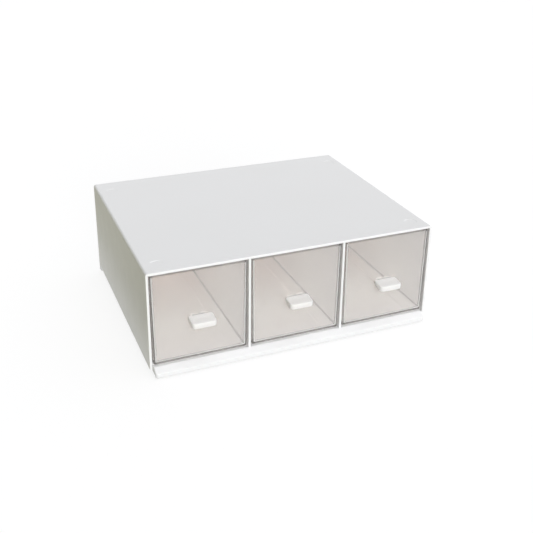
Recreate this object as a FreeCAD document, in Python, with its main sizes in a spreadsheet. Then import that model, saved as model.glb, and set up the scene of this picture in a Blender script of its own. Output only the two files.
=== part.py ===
import FreeCAD, Part
import os
import Sketcher

# Tea bag organizer: a tabletop chest with three clear drawers side by side.
# Millimetres, +Z up, the drawers open towards -Y. The origin is the centre of the
# overall box on the surface that the foot pads stand on.

# Driving dimensions: name, value in millimetres, meaning.
DIMENSIONS = (
    ("casing_w", 240.0, "outer width of the casing"),
    ("casing_d", 188.0, "depth from the casing's front rim to the outside of the back panel"),
    ("casing_h", 80.5, "height of the side walls, from their lower edge to the top"),
    ("wall_t", 2.0, "thickness of the side walls"),
    ("top_t", 2.0, "thickness of the top"),
    ("long_edge_r", 2.0, "rounding where the top meets the side walls"),
    ("rim_edge_r", 0.4, "rounding of the front rims"),
    ("partition_t", 2.0, "thickness of the two partitions"),
    ("groove_d", 0.8, "depth of the grooves that hold the partitions"),
    ("plate_fit", 0.1, "gap on each side of a plate in its groove"),
    ("back_t", 2.2, "thickness of the back panel"),
    ("bar_t", 1.5, "thickness of the back panel's locating bars"),
    ("bar_reach", 1.5, "reach of the locating bars into the casing"),
    ("bar_margin", 6.0, "distance from a top locating bar to the bay's sides"),
    ("skirt_gap", 0.3, "height of the back panel's lower edge above the table"),
    ("skirt_corner_r", 2.0, "rounding of the back panel's lower corners"),
    ("lip_h", 5.6, "height of the base tray and of its front lip"),
    ("lip_reach", 5.8, "how far the lip stands out in front of the casing"),
    ("lip_inset", 3.0, "distance from the tray's sides to the casing's outer sides"),
    ("lip_drop", 3.2, "how much lower the lip's top is at its front"),
    ("lip_hang", 1.4, "how far the lip's front edge hangs below the tray"),
    ("lip_hang_t", 2.4, "thickness of that edge"),
    ("lip_corner_r", 2.0, "rounding of the lip's corners, seen from above"),
    ("lip_edge_r", 0.8, "rounding of the lip's upper and lower edges"),
    ("seat_rise", 1.6, "height of the tray's floor above the side walls' lower edges"),
    ("tray_t", 2.2, "thickness of the tray's floor"),
    ("tray_rim_t", 2.0, "thickness of the tray's rim, seen from below"),
    ("lip_rim_t", 4.5, "thickness of that rim at the lip"),
    ("tray_rib_t", 1.4, "thickness of the stiffening ribs under the tray"),
    ("runner_w", 1.6, "width of the drawer runners"),
    ("runner_h", 0.8, "height of the drawer runners"),
    ("runner_spread", 25.0, "distance from a bay's middle to its runners"),
    ("runner_end", 4.0, "distance from the runners' ends to the tray's front and back"),
    ("ledge_reach", 2.6, "reach of the ledges that stand on the tray"),
    ("ledge_h", 0.8, "height of those ledges"),
    ("bead_l", 14.0, "length of the snap beads on the tray's sides"),
    ("bead_h", 0.8, "height of the snap beads"),
    ("bead_bite", 0.5, "depth of a bead in the side wall"),
    ("bead_fit", 0.1, "gap around a bead in its pocket"),
    ("bead_front", 40.0, "distance from the casing's front to the front beads"),
    ("bead_rear", 38.0, "distance from the back panel to the rear beads"),
    ("pad_d", 9.0, "diameter of the foot pads"),
    ("pad_stand", 3.0, "how far the pads stand out below the tray"),
    ("pad_seat", 1.0, "depth of a pad in its boss"),
    ("pad_fit", 0.3, "gap around a pad in its boss"),
    ("pad_boss_t", 1.6, "wall of a pad's boss"),
    ("pad_edge_r", 0.6, "rounding of a pad's lower edge"),
    ("pad_side", 12.0, "distance from a pad's centre to the casing's outer side"),
    ("pad_front", 14.0, "distance from the front pads' centres to the casing's front"),
    ("pad_rear", 21.0, "distance from the rear pads' centres to the outside of the back"),
    ("seat_fit", 0.5, "gap around a pad in the stacking seats on the top"),
    ("seat_d", 0.15, "depth of the stacking seats"),
    ("front_recess", 1.0, "distance from the casing's front to the drawers' fronts"),
    ("side_gap", 0.65, "gap on each side of a drawer, at its upper edge"),
    ("tub_draft", 0.8, "how much narrower each side of a drawer is at the bottom"),
    ("top_gap", 1.2, "gap above a drawer"),
    ("run_gap", 0.25, "gap between a drawer and its runners"),
    ("rear_gap", 2.5, "gap behind a drawer"),
    ("tub_wall_t", 1.5, "thickness of a drawer's sides and back"),
    ("tub_front_t", 2.2, "thickness of a drawer's front"),
    ("tub_floor_t", 2.0, "thickness of a drawer's floor"),
    ("tub_edge_r", 1.0, "rounding of a drawer's outer edges"),
    ("tub_inner_r", 1.0, "rounding inside a drawer"),
    ("travel", 150.0, "how far a drawer pulls out before it meets its stop"),
    ("stop_w", 30.0, "width of the stop under the top and of the nib on the drawer"),
    ("stop_t", 1.6, "thickness of the stop"),
    ("stop_drop", 0.9, "how far the stop hangs below the top"),
    ("nib_rise", 0.6, "how far the nib stands above the drawer's back"),
    ("stop_slack", 0.3, "gap between nib and stop when a drawer is fully out"),
    ("handle_w", 19.5, "width of a handle"),
    ("handle_t", 5.5, "thickness of a handle at its front"),
    ("handle_root_t", 3.0, "thickness of a handle where it meets the drawer"),
    ("handle_reach", 11.5, "how far a handle stands out from the drawer"),
    ("handle_rise", 33.8, "height of a handle's middle above the drawer's bottom"),
    ("grip_l", 2.6, "length of the full thickness at a handle's front"),
    ("grip_slope", 6.5, "length of the slope behind it"),
    ("handle_corner_r", 2.5, "rounding of a handle's front corners, seen from above"),
    ("handle_edge_r", 0.6, "rounding of a handle's edges"),
    ("dish_rim", 2.4, "width of the rim round the dish on a handle"),
    ("dish_d", 0.6, "depth of the dish"),
    ("dish_corner_r", 1.2, "rounding of the dish's corners"),
    ("neck_w", 12.0, "width of a handle's neck in the drawer front"),
    ("neck_t", 2.4, "thickness of the neck"),
    ("neck_fit", 0.15, "gap around the neck in its slot, and before its barbs"),
    ("barb_reach", 0.9, "how far each barb reaches past the neck"),
    ("barb_l", 2.6, "length of the barbs behind the drawer front"),
    ("barb_lead", 1.2, "chamfer at the barbs' tips"),
    ("slit_w", 2.4, "width of the slit that lets the barbs spring"),
)

# Bays from left to right, with their step from the middle one.
BAYS = (("left", -1), ("middle", 0), ("right", 1))
SIDES = (("left", -1), ("right", 1))
TRAY_CELLS_ACROSS = 6
TRAY_CELLS_DEEP = 3
TINY = 0.001

# Derived dimensions, as expressions on the sheet.
SHELL_D = "(Sizes.casing_d - Sizes.back_t)"
BAY_W = "((Sizes.casing_w - 2 * Sizes.wall_t - 2 * Sizes.partition_t) / 3)"
BAY_STEP = f"({BAY_W} + Sizes.partition_t)"
UNDERSIDE = "(Sizes.casing_h - Sizes.top_t)"
TRAY_SIDE = "(Sizes.casing_w / 2 - Sizes.lip_inset)"
WALL_FACE = "(Sizes.casing_w / 2 - Sizes.wall_t)"
BEAD_PLACES = ("Sizes.bead_front", f"({SHELL_D} - Sizes.bead_rear)")
CASING_RISE = "(Sizes.pad_stand + Sizes.lip_h - Sizes.seat_rise)"
FLOOR_RISE = "(Sizes.pad_stand + Sizes.lip_h)"
PAD_X = "(Sizes.casing_w / 2 - Sizes.pad_side)"
PAD_REAR_Y = "(Sizes.casing_d - Sizes.pad_rear)"
TUB_W = f"({BAY_W} - 2 * Sizes.side_gap)"
TUB_L = f"({SHELL_D} - Sizes.front_recess - Sizes.rear_gap)"
TUB_RISE = f"({FLOOR_RISE} + Sizes.runner_h + Sizes.run_gap)"
TUB_H = f"({CASING_RISE} + {UNDERSIDE} - Sizes.top_gap - {TUB_RISE})"
NIB_Y = f"(Sizes.front_recess + {TUB_L} - Sizes.tub_wall_t)"
STOP_Y = f"({NIB_Y} - Sizes.travel - Sizes.stop_slack)"
HANDLE_OUT = "(Sizes.handle_reach - Sizes.front_recess)"
NECK_MID = "((Sizes.handle_t - Sizes.handle_root_t) / 2)"
FRONT_Y = f"(({HANDLE_OUT} - Sizes.casing_d) / 2)"

doc = FreeCAD.newDocument("TeaBagOrganizer")
sheet = doc.addObject("Spreadsheet::Sheet", "Sizes")
for row, (alias, value, meaning) in enumerate(DIMENSIONS, 1):
    sheet.set(f"A{row}", alias)
    sheet.set(f"B{row}", str(value))
    sheet.set(f"C{row}", meaning)
    sheet.setAlias(f"B{row}", alias)
doc.recompute()


def number(expression):
    """Value of an expression on the sheet."""
    result = sheet.evalExpression(expression)
    return float(getattr(result, "Value", result))


def new_body(label, x="0", y="0", z="0"):
    """A sub-part whose own origin is placed at three expressions, y measured from the front rim."""
    body = doc.addObject("PartDesign::Body", label)
    body.Label = label
    places = (("x", x), ("y", f"{FRONT_Y} + {y}"), ("z", z))
    body.Placement.Base = FreeCAD.Vector(*(number(place) for _, place in places))
    for axis, place in places:
        body.setExpression(f".Placement.Base.{axis}", place)
    return body


def new_sketch(body, name, plane, offset="0"):
    """A sketch on one of the body's origin planes, moved along the plane's own normal."""
    sketch = body.newObject("Sketcher::SketchObject", f"{body.Name}_{name}")
    support = [item for item in body.Origin.OriginFeatures if item.Role == f"{plane}_Plane"][0]
    sketch.AttachmentSupport = [(support, "")]
    sketch.MapMode = "FlatFace"
    sketch.AttachmentOffset = FreeCAD.Placement(FreeCAD.Vector(0, 0, number(offset)), FreeCAD.Rotation())
    sketch.setExpression(".AttachmentOffset.Base.z", offset)
    return sketch


def hold(sketch, kind, geometry, point, expression, *more):
    """One dimension of the sketch, driven by an expression."""
    places = (-1, 1, geometry, point) if kind.startswith("Distance") else (geometry,)
    index = sketch.addConstraint(Sketcher.Constraint(kind, *places, number(expression)))
    sketch.setExpression(f"Constraints[{index}]", expression)


def outline(sketch, points):
    """A closed outline of straight lines through points that are pairs of expressions."""
    corners = [FreeCAD.Vector(number(x), number(y), 0) for x, y in points]
    first = sketch.GeometryCount
    count = len(points)
    for index in range(count):
        line = Part.LineSegment(corners[index], corners[(index + 1) % count])
        sketch.addGeometry(line, False)
    for index, (x, y) in enumerate(points):
        before = first + (index - 1) % count
        sketch.addConstraint(Sketcher.Constraint("Coincident", before, 2, first + index, 1))
        hold(sketch, "DistanceX", first + index, 1, x)
        hold(sketch, "DistanceY", first + index, 1, y)


def rectangle(sketch, x_low, x_high, y_low, y_high):
    outline(sketch, [(x_low, y_low), (x_high, y_low), (x_high, y_high), (x_low, y_high)])


def circle(sketch, x, y, radius):
    centre = FreeCAD.Vector(number(x), number(y), 0)
    index = sketch.addGeometry(Part.Circle(centre, FreeCAD.Vector(0, 0, 1), number(radius)), False)
    hold(sketch, "DistanceX", index, 3, x)
    hold(sketch, "DistanceY", index, 3, y)
    hold(sketch, "Radius", index, 3, radius)


def extrude(body, kind, sketch, length, turned=False):
    """A Pad or Pocket of the sketch, tested for adding or removing material."""
    before = body.Tip.Shape.Volume if body.Tip else 0
    feature = body.newObject(f"PartDesign::{kind}", f"{sketch.Name}_{kind}")
    feature.Profile = sketch
    feature.Length = number(length)
    feature.setExpression("Length", length)
    feature.Reversed = turned
    doc.recompute()
    change = feature.Shape.Volume - before
    if change * (1 if kind == "Pad" else -1) < TINY:
        raise RuntimeError(f"{feature.Name} changes nothing")
    return feature


def soften(body, kind, name, size, chosen):
    """A Fillet or Chamfer of the edges whose box passes the test."""
    base = body.Tip
    names = [
        f"Edge{index}"
        for index, edge in enumerate(base.Shape.Edges, 1)
        if chosen(edge.BoundBox)
    ]
    if not names:
        raise RuntimeError(f"{body.Name} {name}: no edge found")
    feature = body.newObject(f"PartDesign::{kind}", f"{body.Name}_{name}")
    feature.Base = (base, names)
    measure = "Radius" if kind == "Fillet" else "Size"
    setattr(feature, measure, number(size))
    feature.setExpression(measure, size)
    doc.recompute()
    return feature


def near(value, expression):
    return abs(value - number(expression)) < TINY


def flat(low, high):
    """True where an edge's box has no size along one axis."""
    return high - low < TINY


def bay_x(step):
    return f"({step} * {BAY_STEP})"


def partition_x(step):
    return f"({step} * {BAY_STEP} / 2)"


# Casing shell: top and side walls in one moulding. Own origin: middle of the front, at the
# walls' lower edge.
def make_casing():
    body = new_body("casing_shell", z=CASING_RISE)
    profile = new_sketch(body, "profile", "XZ")
    half = "Sizes.casing_w / 2"
    outline(profile, [
        (f"-{half}", "0"),
        (f"-{WALL_FACE}", "0"),
        (f"-{WALL_FACE}", UNDERSIDE),
        (WALL_FACE, UNDERSIDE),
        (WALL_FACE, "0"),
        (half, "0"),
        (half, "Sizes.casing_h"),
        (f"-{half}", "Sizes.casing_h"),
    ])
    extrude(body, "Pad", profile, SHELL_D, turned=True)

    def long_top_edge(box):
        lengthwise = flat(box.XMin, box.XMax) and not flat(box.YMin, box.YMax)
        return near(box.ZMin, "Sizes.casing_h") and lengthwise

    soften(body, "Fillet", "long_edges", "Sizes.long_edge_r", long_top_edge)
    soften(body, "Fillet", "front_rim", "Sizes.rim_edge_r", lambda box: near(box.YMax, "0"))

    grooves = new_sketch(body, "grooves", "XZ")
    for _, step in SIDES:
        x = partition_x(step)
        reach = "(Sizes.partition_t / 2 + Sizes.plate_fit)"
        rectangle(grooves, f"{x} - {reach}", f"{x} + {reach}", UNDERSIDE, f"{UNDERSIDE} + Sizes.groove_d")
    extrude(body, "Pocket", grooves, SHELL_D)

    ledges = new_sketch(body, "ledges", "XZ", "-Sizes.runner_end")
    ledge_top = "Sizes.seat_rise + Sizes.ledge_h"
    for _, step in SIDES:
        inner = f"{step} * ({WALL_FACE} - Sizes.ledge_reach)"
        rectangle(ledges, f"{step} * {WALL_FACE}", inner, "Sizes.seat_rise", ledge_top)
    ledge_end = f"({SHELL_D} - Sizes.bar_reach - Sizes.runner_end)"
    extrude(body, "Pad", ledges, f"{ledge_end} - Sizes.runner_end", turned=True)

    stops = new_sketch(body, "stops", "XY", UNDERSIDE)
    for _, step in BAYS:
        x = bay_x(step)
        half_w = "Sizes.stop_w / 2"
        rectangle(stops, f"{x} - {half_w}", f"{x} + {half_w}", f"{STOP_Y} - Sizes.stop_t", STOP_Y)
    extrude(body, "Pad", stops, "Sizes.stop_drop", turned=True)

    for side, step in SIDES:
        pockets = new_sketch(body, f"bead_pockets_{side}", "YZ", f"{step} * {WALL_FACE}")
        half_l = "(Sizes.bead_l / 2 + Sizes.bead_fit)"
        low = "Sizes.seat_rise / 2 - Sizes.bead_h / 2 - Sizes.bead_fit"
        high = "Sizes.seat_rise / 2 + Sizes.bead_h / 2 + Sizes.bead_fit"
        for y in BEAD_PLACES:
            rectangle(pockets, f"{y} - {half_l}", f"{y} + {half_l}", low, high)
        extrude(body, "Pocket", pockets, "Sizes.bead_bite + Sizes.bead_fit", turned=step > 0)

    seats = new_sketch(body, "stacking_seats", "XY", "Sizes.casing_h")
    for _, step in SIDES:
        for y in ("Sizes.pad_front", PAD_REAR_Y):
            circle(seats, f"{step} * {PAD_X}", y, "Sizes.pad_d / 2 + Sizes.seat_fit")
    extrude(body, "Pocket", seats, "Sizes.seat_d")
    return body


# Partitions: upright plates in grooves of the top and of the tray. Own origin: front edge, at
# the bottom of the tray's groove.
def make_partition(side, step):
    rise = f"({FLOOR_RISE} - Sizes.groove_d)"
    body = new_body(f"partition_{side}", x=partition_x(step), z=rise)
    plate = new_sketch(body, "plate", "XZ")
    top = f"{CASING_RISE} + {UNDERSIDE} + Sizes.groove_d - {rise}"
    rectangle(plate, "-Sizes.partition_t / 2", "Sizes.partition_t / 2", "0", top)
    extrude(body, "Pad", plate, SHELL_D, turned=True)

    def front_upright(box):
        return near(box.YMax, "0") and not flat(box.ZMin, box.ZMax)

    soften(body, "Fillet", "front_edges", "Sizes.rim_edge_r", front_upright)
    return body


# Back panel: closes the shell, with bars that fit inside it and a skirt that hangs below the
# side walls. Own origin: its inner face, at its lower edge.
def make_back_panel():
    body = new_body("back_panel", y=SHELL_D, z="Sizes.skirt_gap")
    panel = new_sketch(body, "panel", "XZ")
    height = f"({CASING_RISE} + Sizes.casing_h - Sizes.skirt_gap)"
    half = "Sizes.casing_w / 2"
    rectangle(panel, f"-{half}", half, "0", height)
    extrude(body, "Pad", panel, "Sizes.back_t", turned=True)

    def corner_at(level):
        return lambda box: near(box.ZMin, level) and near(box.ZMax, level) and not flat(box.YMin, box.YMax)

    soften(body, "Fillet", "top_corners", "Sizes.long_edge_r", corner_at(height))
    soften(body, "Fillet", "skirt_corners", "Sizes.skirt_corner_r", corner_at("0"))

    bars = new_sketch(body, "bars", "XZ")
    top = f"({CASING_RISE} + {UNDERSIDE} - Sizes.plate_fit - Sizes.skirt_gap)"
    foot = f"({TUB_RISE} - Sizes.skirt_gap)"
    wall = f"({WALL_FACE} - Sizes.plate_fit)"
    for _, step in SIDES:
        rectangle(bars, f"{step} * {wall}", f"{step} * ({wall} - Sizes.bar_t)", foot, top)
        edge = "(Sizes.partition_t / 2 + Sizes.plate_fit)"
        for flank in (-1, 1):
            near_face = f"{partition_x(step)} + {flank} * {edge}"
            far_face = f"{partition_x(step)} + {flank} * ({edge} + Sizes.bar_t)"
            rectangle(bars, near_face, far_face, foot, top)
    for _, step in BAYS:
        reach = f"({BAY_W} / 2 - Sizes.bar_margin)"
        rectangle(bars, f"{bay_x(step)} - {reach}", f"{bay_x(step)} + {reach}", f"{top} - Sizes.bar_t", top)
    extrude(body, "Pad", bars, "Sizes.bar_reach")
    return body


# Base tray: floor of the bays, hollow from below, with a lip in front that slopes down and hangs
# a little below the rest. Own origin: middle of the casing's front, at the tray's underside.
def make_base_tray():
    body = new_body("base_tray", z="Sizes.pad_stand")
    slab = new_sketch(body, "slab", "XY")
    rectangle(slab, f"-{TRAY_SIDE}", TRAY_SIDE, "-Sizes.lip_reach", SHELL_D)
    extrude(body, "Pad", slab, "Sizes.lip_h")
    slope = new_sketch(body, "lip_slope", "YZ", TRAY_SIDE)
    lip_top = "(Sizes.lip_h - Sizes.lip_drop)"
    outline(slope, [
        ("0", "Sizes.lip_h"),
        ("-Sizes.lip_reach", lip_top),
        ("-Sizes.lip_reach", "Sizes.lip_h"),
    ])
    extrude(body, "Pocket", slope, f"2 * {TRAY_SIDE}")
    hang = new_sketch(body, "hang", "XY")
    rectangle(hang, f"-{TRAY_SIDE}", TRAY_SIDE, "-Sizes.lip_reach", "Sizes.lip_hang_t - Sizes.lip_reach")
    extrude(body, "Pad", hang, "Sizes.lip_hang", turned=True)

    def lip_corner(box):
        return near(box.YMax, "-Sizes.lip_reach") and not flat(box.ZMin, box.ZMax)

    def lip_front(box):
        return near(box.YMax, "-Sizes.lip_reach") and flat(box.ZMin, box.ZMax)

    soften(body, "Fillet", "lip_corners", "Sizes.lip_corner_r", lip_corner)
    soften(body, "Fillet", "lip_edges", "Sizes.lip_edge_r", lip_front)

    cells = new_sketch(body, "cells", "XY")
    width = f"(2 * ({TRAY_SIDE} - Sizes.tray_rim_t) - {TRAY_CELLS_ACROSS - 1} * Sizes.tray_rib_t)"
    cell_w = f"({width} / {TRAY_CELLS_ACROSS})"
    ribs_deep = f"{TRAY_CELLS_DEEP - 1} * Sizes.tray_rib_t"
    depth = f"({SHELL_D} + Sizes.lip_reach - Sizes.tray_rim_t - Sizes.lip_rim_t - {ribs_deep})"
    cell_d = f"({depth} / {TRAY_CELLS_DEEP})"
    for column in range(TRAY_CELLS_ACROSS):
        for line in range(TRAY_CELLS_DEEP):
            x = f"(Sizes.tray_rim_t - {TRAY_SIDE} + {column} * ({cell_w} + Sizes.tray_rib_t))"
            y = f"(Sizes.lip_rim_t - Sizes.lip_reach + {line} * ({cell_d} + Sizes.tray_rib_t))"
            rectangle(cells, x, f"{x} + {cell_w}", y, f"{y} + {cell_d}")
    extrude(body, "Pocket", cells, "Sizes.lip_h - Sizes.tray_t", turned=True)

    pad_places = [(f"{step} * {PAD_X}", y) for _, step in SIDES for y in ("Sizes.pad_front", PAD_REAR_Y)]
    bosses = new_sketch(body, "pad_bosses", "XY")
    recesses = new_sketch(body, "pad_recesses", "XY")
    for x, y in pad_places:
        circle(bosses, x, y, "Sizes.pad_d / 2 + Sizes.pad_fit + Sizes.pad_boss_t")
        circle(recesses, x, y, "Sizes.pad_d / 2 + Sizes.pad_fit")
    extrude(body, "Pad", bosses, "Sizes.lip_h - Sizes.tray_t / 2")
    extrude(body, "Pocket", recesses, "Sizes.pad_seat", turned=True)

    grooves = new_sketch(body, "grooves", "XY", "Sizes.lip_h")
    for _, step in SIDES:
        x = partition_x(step)
        reach = "(Sizes.partition_t / 2 + Sizes.plate_fit)"
        rectangle(grooves, f"{x} - {reach}", f"{x} + {reach}", "0", SHELL_D)
    extrude(body, "Pocket", grooves, "Sizes.groove_d")

    runners = new_sketch(body, "runners", "XY", "Sizes.lip_h")
    for _, step in BAYS:
        for flank in (-1, 1):
            x = f"({bay_x(step)} + {flank} * Sizes.runner_spread)"
            left = f"{x} - Sizes.runner_w / 2"
            right = f"{x} + Sizes.runner_w / 2"
            rectangle(runners, left, right, "Sizes.runner_end", f"{SHELL_D} - Sizes.runner_end")
    extrude(body, "Pad", runners, "Sizes.runner_h")

    for side, step in SIDES:
        root = f"({TRAY_SIDE} - Sizes.lip_edge_r)"
        beads = new_sketch(body, f"beads_{side}", "YZ", f"{step} * {root}")
        low = "Sizes.lip_h - Sizes.seat_rise / 2 - Sizes.bead_h / 2"
        high = "Sizes.lip_h - Sizes.seat_rise / 2 + Sizes.bead_h / 2"
        for y in BEAD_PLACES:
            rectangle(beads, f"{y} - Sizes.bead_l / 2", f"{y} + Sizes.bead_l / 2", low, high)
        extrude(body, "Pad", beads, f"{WALL_FACE} + Sizes.bead_bite - {root}", turned=step < 0)
    return body


# Foot pads: soft discs seated in the tray's bosses. Own origin: centre of the lower face.
def make_foot_pad(label, x, y):
    body = new_body(label, x=x, y=y)
    disc = new_sketch(body, "disc", "XY")
    circle(disc, "0", "0", "Sizes.pad_d / 2")
    extrude(body, "Pad", disc, "Sizes.pad_stand + Sizes.pad_seat")
    soften(body, "Fillet", "lower_edge", "Sizes.pad_edge_r", lambda box: near(box.ZMax, "0"))
    return body


# Drawer tub: one clear moulding, a little narrower at the bottom than at the top. Own origin:
# middle of the front face, at the bottom.
def make_tub(bay, step):
    body = new_body(f"drawer_tub_{bay}", x=bay_x(step), y="Sizes.front_recess", z=TUB_RISE)
    half_top = f"({TUB_W} / 2)"
    half_foot = f"({TUB_W} / 2 - Sizes.tub_draft)"
    outer = new_sketch(body, "outer", "XZ")
    outline(outer, [(f"-{half_foot}", "0"), (half_foot, "0"), (half_top, TUB_H), (f"-{half_top}", TUB_H)])
    extrude(body, "Pad", outer, TUB_L, turned=True)

    def below_top(box):
        return not near(box.ZMin, TUB_H)

    soften(body, "Fillet", "outer_edges", "Sizes.tub_edge_r", below_top)

    cavity = new_sketch(body, "cavity", "XZ", "-Sizes.tub_front_t")
    slope = f"(Sizes.tub_draft * Sizes.tub_floor_t / {TUB_H})"
    inner_top = f"({half_top} - Sizes.tub_wall_t)"
    inner_foot = f"({half_foot} + {slope} - Sizes.tub_wall_t)"
    outline(cavity, [
        (f"-{inner_foot}", "Sizes.tub_floor_t"),
        (inner_foot, "Sizes.tub_floor_t"),
        (inner_top, TUB_H),
        (f"-{inner_top}", TUB_H),
    ])
    extrude(body, "Pocket", cavity, f"{TUB_L} - Sizes.tub_front_t - Sizes.tub_wall_t")

    def inside_below_top(box):
        return (
            box.ZMin > number("Sizes.tub_floor_t") - TINY
            and not near(box.ZMin, TUB_H)
            and box.YMin > number("Sizes.tub_front_t") - TINY
            and box.YMax < number(f"{TUB_L} - Sizes.tub_wall_t") + TINY
        )

    soften(body, "Fillet", "inner_edges", "Sizes.tub_inner_r", inside_below_top)

    nib = new_sketch(body, "nib", "XY", TUB_H)
    rectangle(nib, "-Sizes.stop_w / 2", "Sizes.stop_w / 2", f"{TUB_L} - Sizes.tub_wall_t", TUB_L)
    extrude(body, "Pad", nib, "Sizes.nib_rise")

    slot = new_sketch(body, "handle_slot", "XZ")
    half_w = "(Sizes.neck_w / 2 + Sizes.neck_fit)"
    half_h = "(Sizes.neck_t / 2 + Sizes.neck_fit)"
    middle = f"(Sizes.handle_rise + {NECK_MID})"
    rectangle(slot, f"-{half_w}", half_w, f"{middle} - {half_h}", f"{middle} + {half_h}")
    extrude(body, "Pocket", slot, "Sizes.tub_front_t")
    return body


# Drawer handle: a tongue with a dish on top and a scooped underside, and a neck that snaps into
# the drawer front. Own origin: middle of the face that lies on the drawer.
def make_handle(bay, step):
    rise = f"({TUB_RISE} + Sizes.handle_rise)"
    body = new_body(f"drawer_handle_{bay}", x=bay_x(step), y="Sizes.front_recess", z=rise)
    half_t = "(Sizes.handle_t / 2)"
    root_low = f"({half_t} - Sizes.handle_root_t)"
    grip_end = "(Sizes.grip_l - Sizes.handle_reach)"
    side = new_sketch(body, "side", "YZ", "-Sizes.handle_w / 2")
    outline(side, [
        ("0", half_t),
        ("-Sizes.handle_reach", half_t),
        ("-Sizes.handle_reach", f"-{half_t}"),
        (grip_end, f"-{half_t}"),
        (f"({grip_end} + Sizes.grip_slope)", root_low),
        ("0", root_low),
    ])
    extrude(body, "Pad", side, "Sizes.handle_w")

    def front_upright(box):
        return near(box.YMax, "-Sizes.handle_reach") and not flat(box.ZMin, box.ZMax)

    def level_edge(box):
        level = near(box.ZMin, half_t) and near(box.ZMax, half_t)
        foot = near(box.ZMin, f"-{half_t}") and near(box.ZMax, f"-{half_t}")
        front = near(box.YMin, "-Sizes.handle_reach")
        return (level and not near(box.YMin, "0")) or (foot and front)

    soften(body, "Fillet", "front_corners", "Sizes.handle_corner_r", front_upright)
    soften(body, "Fillet", "edges", "Sizes.handle_edge_r", level_edge)

    dish = new_sketch(body, "dish", "XY", half_t)
    half_dish = "(Sizes.handle_w / 2 - Sizes.dish_rim)"
    rectangle(dish, f"-{half_dish}", half_dish, "Sizes.dish_rim - Sizes.handle_reach", "-Sizes.dish_rim")
    extrude(body, "Pocket", dish, "Sizes.dish_d")

    def dish_corner(box):
        inside = box.ZMin > number(f"{half_t} - Sizes.dish_d") - TINY and near(box.ZMax, half_t)
        upright = flat(box.XMin, box.XMax) and flat(box.YMin, box.YMax)
        return inside and upright and not flat(box.ZMin, box.ZMax)

    soften(body, "Fillet", "dish_corners", "Sizes.dish_corner_r", dish_corner)

    neck = new_sketch(body, "neck", "XZ")
    low = f"({NECK_MID} - Sizes.neck_t / 2)"
    high = f"({NECK_MID} + Sizes.neck_t / 2)"
    rectangle(neck, "-Sizes.neck_w / 2", "Sizes.neck_w / 2", low, high)
    extrude(body, "Pad", neck, "Sizes.tub_front_t + Sizes.neck_fit + Sizes.barb_l", turned=True)
    barbs = new_sketch(body, "barbs", "XZ", "-(Sizes.tub_front_t + Sizes.neck_fit)")
    half_w = "(Sizes.neck_w / 2 + Sizes.barb_reach)"
    rectangle(barbs, f"-{half_w}", half_w, low, high)
    extrude(body, "Pad", barbs, "Sizes.barb_l", turned=True)

    tip = "(Sizes.tub_front_t + Sizes.neck_fit + Sizes.barb_l)"

    def barb_tip(box):
        return near(box.YMin, tip) and flat(box.XMin, box.XMax) and not flat(box.ZMin, box.ZMax)

    soften(body, "Chamfer", "barb_tips", "Sizes.barb_lead", barb_tip)
    slit = new_sketch(body, "slit", "XY", high)
    rectangle(slit, "-Sizes.slit_w / 2", "Sizes.slit_w / 2", "Sizes.neck_fit", tip)
    extrude(body, "Pocket", slit, "Sizes.neck_t")
    return body


def make_all():
    parts = [make_casing()]
    parts += [make_partition(side, step) for side, step in SIDES]
    parts += [make_back_panel(), make_base_tray()]
    for side, step in SIDES:
        for end, y in (("front", "Sizes.pad_front"), ("rear", PAD_REAR_Y)):
            parts.append(make_foot_pad(f"foot_pad_{end}_{side}", f"{step} * {PAD_X}", y))
    for bay, step in BAYS:
        parts.append(make_tub(bay, step))
        parts.append(make_handle(bay, step))
    return parts


parts = make_all()
doc.recompute()
for item in doc.Objects:
    if "Invalid" in item.State or "Error" in item.State:
        raise RuntimeError(f"{item.Name} failed: {item.State}")
for part in parts:
    if part.Shape.isNull() or not part.Shape.isValid() or len(part.Shape.Solids) != 1:
        raise RuntimeError(f"{part.Label} isn't one valid solid")

os.makedirs("parts", exist_ok=True)
for part in parts:
    part.Shape.exportStep(f"parts/{part.Label}.step")
    box = part.Shape.BoundBox
    extent = [round(value, 2) for value in (box.XMin, box.XMax, box.YMin, box.YMax, box.ZMin, box.ZMax)]
    print(part.Label, round(part.Shape.Volume), extent)
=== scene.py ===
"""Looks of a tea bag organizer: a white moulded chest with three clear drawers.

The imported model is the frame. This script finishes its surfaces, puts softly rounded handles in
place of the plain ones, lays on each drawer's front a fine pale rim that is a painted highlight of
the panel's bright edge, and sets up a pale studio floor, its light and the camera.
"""

import math

import bpy
import numpy as np
from bpy.props import FloatProperty, FloatVectorProperty, PointerProperty
from mathutils import Matrix, Vector


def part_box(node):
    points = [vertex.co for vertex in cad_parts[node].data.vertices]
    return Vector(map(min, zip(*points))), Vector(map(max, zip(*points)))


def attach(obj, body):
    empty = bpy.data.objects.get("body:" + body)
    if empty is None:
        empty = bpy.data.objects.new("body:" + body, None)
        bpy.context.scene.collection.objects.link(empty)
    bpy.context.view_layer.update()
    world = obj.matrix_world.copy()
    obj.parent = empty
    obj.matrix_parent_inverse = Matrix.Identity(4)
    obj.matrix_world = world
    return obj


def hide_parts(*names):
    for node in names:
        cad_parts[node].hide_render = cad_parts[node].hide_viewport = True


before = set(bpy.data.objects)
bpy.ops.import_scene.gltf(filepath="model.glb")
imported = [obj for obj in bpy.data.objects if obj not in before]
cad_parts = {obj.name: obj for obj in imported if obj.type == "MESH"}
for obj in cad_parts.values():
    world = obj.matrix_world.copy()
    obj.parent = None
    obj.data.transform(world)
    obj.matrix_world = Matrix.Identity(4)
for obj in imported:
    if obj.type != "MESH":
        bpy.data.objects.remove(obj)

bl_info = {
    "name": "Tea Bag Organizer",
    "version": (1, 0, 0),
    "blender": (4, 5, 0),
    "location": "3D View > Sidebar > Organizer",
    "description": "Finishes the pieces of a tea bag organizer and sets up its studio",
    "category": "Object",
}

MM = 0.001
BAYS = ("left", "middle", "right")

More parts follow.
